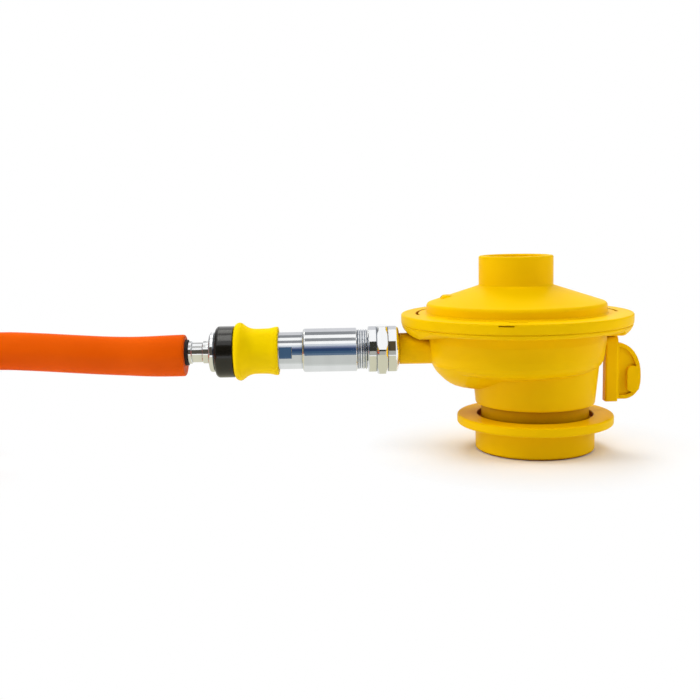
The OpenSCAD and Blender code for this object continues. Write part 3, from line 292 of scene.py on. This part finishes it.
SLOT_FINISH = {
    "cast_yellow": PAINT,
    "screw_yellow": PAINT,
    "sleeve_yellow": SLEEVE,
    "black_gloss": BLACK,
    "chrome": CHROME,
    "zinc_steel": ZINC,
    "spring_steel": SPRING,
    "brass": BRASS,
    "black_rubber": RUBBER,
    "black_plastic": RUBBER,
    "hose_orange": HOSE,
}
NODE_FINISH = {"inlet_spigot": STEM_SHADED_PAINT, "on_off_lever": LEVER_PAINT}


def dress_nodes():
    """Gives each CAD node the material of its slot, or its own."""
    for part in frame["record"]["subparts"]:
        slot_finish = SLOT_FINISH[part["material_slot"]]
        materials = frame["nodes"][part["node"]].data.materials
        materials.clear()
        materials.append(NODE_FINISH.get(part["node"], slot_finish))


dress_nodes()


# ---------------------------------------------------------------- shape helpers
def tube(name, path, radius, resolution):
    """A curve with a round section, in metres. Its path is (place, share of the radius)."""
    curve = bpy.data.curves.new(name, "CURVE")
    curve.dimensions = "3D"
    curve.bevel_depth = radius
    curve.bevel_resolution = resolution
    curve.use_fill_caps = True
    spline = curve.splines.new("POLY")
    spline.points.add(len(path) - 1)
    for point, (place, share) in zip(spline.points, path):
        point.co = (*place, 1)
        point.radius = share
    return curve


def mesh_of(name, points, faces, material):
    mesh = bpy.data.meshes.new(name)
    mesh.from_pydata(points, [], faces)
    mesh.materials.append(material)
    return mesh


def arc(middle_r, middle_along, radius, from_deg, to_deg, steps):
    """Profile points of an arc, with 0 degrees off the axis and 90 towards the hose."""
    points = []
    for i in range(steps + 1):
        turn = math.radians(from_deg + (to_deg - from_deg) * i / steps)
        points.append((middle_r + radius * math.cos(turn),
                       middle_along + radius * math.sin(turn)))
    return points


# ---------------------------------------------------------------- hose
# Its radius in metres, and its middle line's height where it lies on the floor
HOSE_R = 8 * MM
ON_FLOOR_Z = 8
# Height of the outlet's axis
OUTLET_Z = 45
# The route, as in the CAD but for the sag where the hose leaves the coupler
HOSE_START = 151.6
SAG = 1.2
TAIL_Y = 12
LANE_Z = 10
# The start of the loop crosses over the tail, and a tie holds the two
CROSSING_GAP = 0.8
LOOP_HIGH = LANE_Z + 2 * ON_FLOOR_Z + CROSSING_GAP
LEAD = [
    (-HOSE_START, 0, OUTLET_Z - SAG), (-168, 0, OUTLET_Z - SAG - 0.1), (-184, 0, 44.3),
    (-199, 0, 45.3), (-214, 0, 46.4), (-228, 0, 47.2), (-237, 0.3, 47), (-246, 1.1, 45.6),
    (-255, 2.5, 43.3), (-264, 4.1, 40.4), (-273, 6, 37.2), (-282, 7.9, 34),
    (-291, 9.5, 31.1), (-300, 10.9, 28.8), (-309, 11.7, 27.3), (-318, TAIL_Y, LOOP_HIGH),
    (-334, TAIL_Y, LOOP_HIGH), (-342, TAIL_Y, LOOP_HIGH),
]
LOOP_R = 80
LOOP_X = -350
LOOP_Y = TAIL_Y - LOOP_R
LOOP_STEPS = 48
# Degrees round the loop where the hose has come down to the floor, and leaves it again
LOOP_DOWN = 150
LOOP_UP = 270
TAIL_X = (-366, -382, -397)

# How far the hose is stretched over the coupler's hose tail: mm from its cut end, factor
STRETCH = [(0, 1.137), (6, 1.133), (12, 1.115), (18, 1.088), (25, 1.058), (34, 1.045),
           (70, 1.04), (95, 1.02), (125, 1.0)]
# The cut end is a little rounded: mm from that end, factor
CUT_RIM = [(0.0, 0.94), (0.25, 0.98), (0.8, 1.0)]


def ease(t):
    """From 0 to 1 with a soft start and end."""
    return (1 - math.cos(math.pi * min(1, max(0, t)))) / 2


def loop_height(angle):
    """Height of the loop's middle line, that many degrees from its start."""
    if angle < LOOP_DOWN:
        return LOOP_HIGH + (ON_FLOOR_Z - LOOP_HIGH) * ease(angle / LOOP_DOWN)
    return ON_FLOOR_Z + (LANE_Z - ON_FLOOR_Z) * ease((angle - LOOP_UP) / (360 - LOOP_UP))


def loop_point(angle):
    turn = math.radians(angle)
    return (LOOP_X - LOOP_R * math.sin(turn), LOOP_Y + LOOP_R * math.cos(turn),
            loop_height(angle))


def hose_route():
    """Points of the hose's middle line, in metres."""
    loop = [loop_point(360 * i / LOOP_STEPS) for i in range(LOOP_STEPS + 1)]
    tail = [(x, TAIL_Y, LANE_Z) for x in TAIL_X]
    return [Vector(p) * MM for p in LEAD + loop + tail]


def smooth_path(points, step=4 * MM):
    """A Catmull-Rom curve through points in metres, sampled about every step."""
    out = []
    for i in range(len(points) - 1):
        a = points[i - 1] if i else 2 * points[0] - points[1]
        b, c = points[i], points[i + 1]
        d = points[i + 2] if i + 2 < len(points) else 2 * c - b
        count = max(1, round((c - b).length / step))
        for k in range(count):
            t = k / count
            out.append(0.5 * (2 * b + (c - a) * t + (2 * a - 5 * b + 4 * c - d) * t ** 2
                              + (3 * b - a - 3 * c + d) * t ** 3))
    return out + [points[-1]]


def stretch(along):
    """Factor of the hose's radius, that many mm from its cut end."""
    for (a, low), (b, high) in zip(STRETCH, STRETCH[1:]):
        if along <= b:
            return low + (high - low) * (along - a) / (b - a)
    return 1.0


def make_hose():
    """The whole hose, swollen where it is pushed over the coupler."""
    points = smooth_path(hose_route())
    start = points[0]
    path = [(start - Vector((s, 0, 0)) * MM, share * stretch(s)) for s, share in CUT_RIM]
    along = 0
    for before, point in zip(points, points[1:]):
        along += (point - before).length / MM
        path.append((point, stretch(along)))
    hose = add("hose", tube("hose", path, HOSE_R, resolution=10))
    hose.data.materials.append(HOSE)
    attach(hose, "regulator")
    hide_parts("hose_lead", "hose_coil")


make_hose()

# ---------------------------------------------------------------- release sleeve
# Profiles run round the outlet's axis, as (radius, mm from the inlet's axis).
# The waist: radius, mm from the sleeve's front
SLEEVE_WAIST = [(10.5, 1.4), (10.25, 2.4), (9.98, 3.6), (9.84, 5), (9.8, 7), (9.8, 9.4),
                (9.86, 10.6), (10.05, 11.7), (10.42, 12.8), (10.95, 13.8)]
# The flat front face ends at one radius, and the round edge's middle stands at another
FRONT_FACE_R = 9.8
FRONT_EDGE_R = 0.6
FRONT_EDGE_AT = 9.95
# The round bead at the sleeve's crest, and how far its middle stands off the axis
BEAD_R = 2.2
BEAD_AT = 10.4
# The thin tail behind the bead, which holds the bumper ring
TAIL_R = 9.75
TAIL_LEN = 7
# The bore: round its spring, on the locking land and at its mouth
BORE_R = 8.8
LAND_R = 7.15
MOUTH_R = 8.3
LAND_FROM = 3.4
LAND_TO = 9.8
SLEEVE_SIDES = 96
SHARP_EDGE = 35


def sleeve_profile(front, tail):
    """The sleeve's closed outline, between those distances from the inlet's axis."""
    end = tail - TAIL_LEN
    land_start, land_end = front + LAND_FROM, front + LAND_TO
    return [
        # The first point keeps the front face's shading flat
        (FRONT_FACE_R, front),
        *arc(FRONT_EDGE_AT, front + FRONT_EDGE_R, FRONT_EDGE_R, from_deg=-90, to_deg=0, steps=5),
        *[(radius, front + along) for radius, along in SLEEVE_WAIST],
        *arc(BEAD_AT, end - BEAD_R, BEAD_R, from_deg=-38, to_deg=84, steps=12),
        (TAIL_R, end), (TAIL_R, tail), (BORE_R, tail), (BORE_R, land_end),
        (LAND_R, land_end), (LAND_R, land_start), (MOUTH_R, land_start), (MOUTH_R, front),
    ]


def lathe(name, profile, sides, material):
    """A mesh that runs a closed profile round the outlet's axis."""
    points, faces = [], []
    for radius, along in profile:
        for k in range(sides):
            turn = 2 * math.pi * k / sides
            points.append(Vector((-along, radius * math.cos(turn),
                                  OUTLET_Z + radius * math.sin(turn))) * MM)
    for i in range(len(profile)):
        ring, after = i * sides, (i + 1) % len(profile) * sides
        for k in range(sides):
            k2 = (k + 1) % sides
            faces.append((ring + k, ring + k2, after + k2, after + k))
    mesh = mesh_of(name, points, faces, material)
    shape = bmesh.new()
    shape.from_mesh(mesh)
    bmesh.ops.recalc_face_normals(shape, faces=shape.faces)
    shape.to_mesh(mesh)
    shape.free()
    mesh.shade_smooth()
    mesh.set_sharp_from_angle(angle=math.radians(SHARP_EDGE))
    return mesh


def make_sleeve():
    """The release sleeve, with a soft waist and a full round bead at its crest."""
    low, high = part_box("release_sleeve")
    profile = sleeve_profile(front=-high[0] / MM, tail=-low[0] / MM)
    shell = add("sleeve_shell", lathe("sleeve_shell", profile, SLEEVE_SIDES, SLEEVE))
    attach(shell, "sleeve")
    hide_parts("release_sleeve")


make_sleeve()


# ---------------------------------------------------------------- springs
STEPS_PER_TURN = 32


def make_spring(node, axis, wire, turns):
    """A round-wire coil in place of a CAD spring.

    axis is 0 for X or 2 for Z. Wire is in metres.
    """
    low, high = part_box(node)
    middle = (low + high) / 2
    across = 1 if axis == 0 else 0
    radius = (high[across] - low[across] - wire) / 2
    length = high[axis] - low[axis]
    steps = STEPS_PER_TURN * turns
    path = []
    for i in range(steps + 1):
        turn = 2 * math.pi * turns * i / steps
        place = middle.copy()
        place[axis] = low[axis] + wire / 2 + (length - wire) * i / steps
        place[across] += radius * math.cos(turn)
        place[3 - axis - across] += radius * math.sin(turn)
        path.append((place, 1))
    wire_path = tube(node + "_path", path, wire / 2, resolution=4)
    wound = bpy.data.objects.new(node + "_path", wire_path)
    mesh = bpy.data.meshes.new_from_object(wound)
    bpy.data.objects.remove(wound)
    mesh.materials.clear()
    mesh.materials.append(SPRING)
    coil = add(node + "_coil", mesh)
    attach(coil, "regulator")
    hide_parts(node)
    direction = Vector((0, 0, 0))
    direction[axis] = 1
    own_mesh(coil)


make_spring("main_spring", axis=2, wire=2 * MM, turns=5)
make_spring("sleeve_spring", axis=0, wire=1 * MM, turns=4)

# ---------------------------------------------------------------- floor
FLOOR_HALF = 3000
# Where the floor keeps its own shade: centre, and how far off white sets in and is full
FLOOR_SHADOWS = (((0, 0, 0), (30, 75)),
                 ((LOOP_X, LOOP_Y, 0), (100, 140)))


def panel(name, corners, material):
    """A flat piece of the stage between its corners."""
    points = [Vector(corner) * MM for corner in corners]
    made = add(name, mesh_of(name, points, [tuple(range(len(points)))], material))
    return made


def floor_material():
    """Pale floor with the object's shadow, that turns white away from what stands on it.

    Only what the camera and shiny metal see turns white: no light is added.
    """
    g = Finish("floor", Base_Color=(0.93, 0.93, 0.93, 1), Roughness=0.9,
               Specular_IOR_Level=0.1)
    outside = []
    for centre, (near, far) in FLOOR_SHADOWS:
        away = g.node("ShaderNodeVectorMath", operation="DISTANCE")
        g.put(g.place(), away.inputs[0])
        g.put(centre, away.inputs[1])
        outside.append(g.rescale(away.outputs["Value"], 0, 1, near, far))
    path = g.node("ShaderNodeLightPath")
    seen = g.calculate("MAXIMUM", path.outputs["Is Camera Ray"], path.outputs["Is Glossy Ray"])
    white = g.node("ShaderNodeEmission", Color=(1, 1, 1, 1), Strength=1)
    both = g.node("ShaderNodeMixShader")
    g.put(g.calculate("MULTIPLY", g.calculate("MULTIPLY", *outside), seen), both.inputs["Fac"])
    g.put(g.bsdf.outputs["BSDF"], both.inputs[1])
    g.put(white.outputs["Emission"], both.inputs[2])
    g.put(both.outputs["Shader"], g.tree.nodes["Material Output"].inputs["Surface"])
    return g.material


def make_floor():
    half = FLOOR_HALF
    panel("floor", [(-half, -half, 0), (half, -half, 0), (half, half, 0), (-half, half, 0)],
          floor_material())


# ---------------------------------------------------------------- reflection cards
# Where each group of plated pieces lies along X, so how far its cards reach
ALL_PLATED = (-240, -75)
TUBES = (-126, -75)
COUPLER = (-240, -126)
NUT = (-74, -46)
NUT_LEFT = (-74, -60)
NUT_RIGHT = (-60, -46)
TUBES_OVERHEAD = (-165, -72)
BACK_OVERHEAD = (-165, 40)
FLANGE_OVERHEAD = (-207, -175)
NIPPLE_OVERHEAD = (-270, -208)
# Upright cards stand in front of the object, flat ones lie just over the floor, the
# coupler's over the others, and strips hang round the outlet at one distance
UPRIGHT_Y = -90
FLAT_Z = 1
RING_CARD_Z = 1.5
OVERHEAD_AWAY = 500
# The grey side at the left: its wall, its floor's near edge, half its depth, and its top
LEFT_WALL_X = -640
LEFT_EDGE_X = -241
LEFT_HALF = 300
LEFT_TOP = 420
LEFT_GREY = (0.20, 0.20, 0.20)


def card(name, corners, colour):
    """A studio card that only shows as a reflection in shiny surfaces."""
    g = Finish(name, Base_Color=(0, 0, 0, 1), Roughness=1, Specular_IOR_Level=0,
               Emission_Color=(*colour, 1), Emission_Strength=1)
    made = panel(name, corners, g.material)
    made.visible_camera = False
    made.visible_diffuse = False
    made.visible_shadow = False
    made.visible_transmission = False


def upright_card(name, along, heights, colour):
    (x0, x1), (z0, z1) = along, heights
    y = UPRIGHT_Y
    card(name, [(x0, y, z0), (x1, y, z0), (x1, y, z1), (x0, y, z1)], colour)


def flat_card(name, along, depths, colour, z=FLAT_Z):
    (x0, x1), (y0, y1) = along, depths
    card(name, [(x0, y0, z), (x1, y0, z), (x1, y1, z), (x0, y1, z)], colour)


def overhead_card(name, along, degrees, colour):
    """A strip along X, between two heights in degrees above the outlet's front."""
    edges = []
    for angle in degrees:
        turn = math.radians(angle)
        edges.append((-OVERHEAD_AWAY * math.cos(turn),
                      OUTLET_Z + OVERHEAD_AWAY * math.sin(turn)))
    (x0, x1), ((ya, za), (yb, zb)) = along, edges
    card(name, [(x0, ya, za), (x1, ya, za), (x1, yb, zb), (x0, yb, zb)], colour)


def make_cards():
    """Studio cards that give the plated pieces their bands, from the floor upwards."""
    flat_card("card_floor_back", ALL_PLATED, (-11, 90), (0.74, 0.75, 0.73))
    flat_card("card_floor_mid", ALL_PLATED, (-19, -11), (0.62, 0.64, 0.61))
    flat_card("card_floor", ALL_PLATED, (-125, -19), (0.55, 0.565, 0.54))
    flat_card("card_floor_nut", NUT, (-90, 60), (0.64, 0.62, 0.46))
    flat_card("card_floor_ring", COUPLER, (-125, 90), (0.66, 0.64, 0.50), z=RING_CARD_Z)
    upright_card("card_low", TUBES, (13, 31), (0.11, 0.165, 0.25))
    upright_card("card_blue_low", TUBES, (31, 48), (0.05, 0.10, 0.18))
    upright_card("card_blue", TUBES, (48, 70.5), (0.027, 0.057, 0.137))
    upright_card("card_slate", TUBES, (70.5, 80.5), (0.11, 0.135, 0.235))
    upright_card("card_mist", TUBES, (80.5, 93), (0.26, 0.30, 0.42))
    upright_card("card_haze", TUBES, (93, 116), (0.60, 0.64, 0.70))
    upright_card("card_dark", COUPLER, (30, 112), (0.085, 0.075, 0.06))
    upright_card("card_nut_low", NUT, (8, 41), (0.42, 0.42, 0.38))
    upright_card("card_nut", NUT_LEFT, (41, 132), (0.035, 0.037, 0.028))
    upright_card("card_nut_right", NUT_RIGHT, (41, 132), (0.09, 0.065, 0.033))
    overhead_card("card_grey", TUBES_OVERHEAD, (54.5, 72.5), (0.26, 0.27, 0.285))
    overhead_card("card_top", TUBES_OVERHEAD, (94, 119), (0.26, 0.27, 0.285))
    overhead_card("card_back", BACK_OVERHEAD, (119, 170), (0.66, 0.665, 0.69))
    overhead_card("card_ring_front", FLANGE_OVERHEAD, (58, 86), (4.5, 4.5, 4.3))
    overhead_card("card_ring_back", FLANGE_OVERHEAD, (98, 122), (3, 3, 2.8))
    overhead_card("card_nipple", NIPPLE_OVERHEAD, (58, 88), (0.5, 0.5, 0.49))
    overhead_card("card_nipple_back", NIPPLE_OVERHEAD, (125, 172), (0.5, 0.5, 0.49))


def make_left_side():
    """A grey floor and wall, which the chrome mirrors at its left."""
    x, half = LEFT_WALL_X, LEFT_HALF
    flat_card("card_floor_left", (x, LEFT_EDGE_X), (-half, half), LEFT_GREY)
    card("card_left", [(x, -half, FLAT_Z), (x, half, FLAT_Z), (x, half, LEFT_TOP),
                       (x, -half, LEFT_TOP)], LEFT_GREY)


# ---------------------------------------------------------------- world and lights
ROOM_TOP = 0.35
ROOM_SIDES = 0.22
# The share of X in a mirrored ray's direction where the room starts to darken, and is dark
ROOM_EDGE = (0.3, 0.65)
# In metres
LIGHT_TARGET = Vector((-0.02, 0, 0.05))
LIGHTS = {
    # name: degrees right of the camera's side, degrees up, distance in m, power in W
    "left_low": (-75, 15, 1.0, 2.5),
    "left_high": (-75, 45, 1.0, 4.2),
    "right_high": (40, 60, 1.0, 2.15),
    "right_near": (70, 20, 0.35, 0.37),
    "behind": (180, 50, 1.0, 5.6),
}
# A light's side, as a share of its distance
LIGHT_SIZE = 0.5


def make_world():
    """A room that is white to the camera, and to shiny metal except at both sides.

    Matt surfaces get a soft light from above.
    """
    world = bpy.data.worlds.new("studio")
    bpy.context.scene.world = world
    g = Graph(world)
    coords = g.node("ShaderNodeTexCoord")
    way = g.node("ShaderNodeSeparateXYZ")
    g.put(coords.outputs["Generated"], way.inputs["Vector"])
    path = g.node("ShaderNodeLightPath")
    camera, glossy = path.outputs["Is Camera Ray"], path.outputs["Is Glossy Ray"]
    sideways = g.calculate("ABSOLUTE", way.outputs["X"])
    mirrored = g.calculate("MULTIPLY", glossy,
                           g.rescale(sideways, 1.0, ROOM_SIDES, *ROOM_EDGE))
    matt_ray = g.calculate("SUBTRACT", 1.0, g.calculate("MAXIMUM", camera, glossy))
    matt = g.calculate("MULTIPLY", matt_ray, g.rescale(way.outputs["Z"], 0.0, ROOM_TOP))
    background = g.tree.nodes["Background"]
    g.put(g.calculate("ADD", g.calculate("ADD", camera, mirrored), matt),
          background.inputs["Strength"])
    g.put((1, 1, 1, 1), background.inputs["Color"])


def make_lights():
    """Soft square lights round the object, which shiny surfaces don't mirror."""
    for name, (aside, up, away, power) in LIGHTS.items():
        side, rise = math.radians(aside), math.radians(up)
        to_light = Vector((math.sin(side) * math.cos(rise),
                           -math.cos(side) * math.cos(rise), math.sin(rise)))
        data = bpy.data.lights.new(name, "AREA")
        data.size = LIGHT_SIZE * away
        data.energy = power
        light = add(name, data)
        light.visible_glossy = False
        light.location = LIGHT_TARGET + to_light * away
        light.rotation_euler = (-to_light).to_track_quat("-Z", "Y").to_euler()


make_floor()
make_cards()
make_left_side()
make_world()
make_lights()
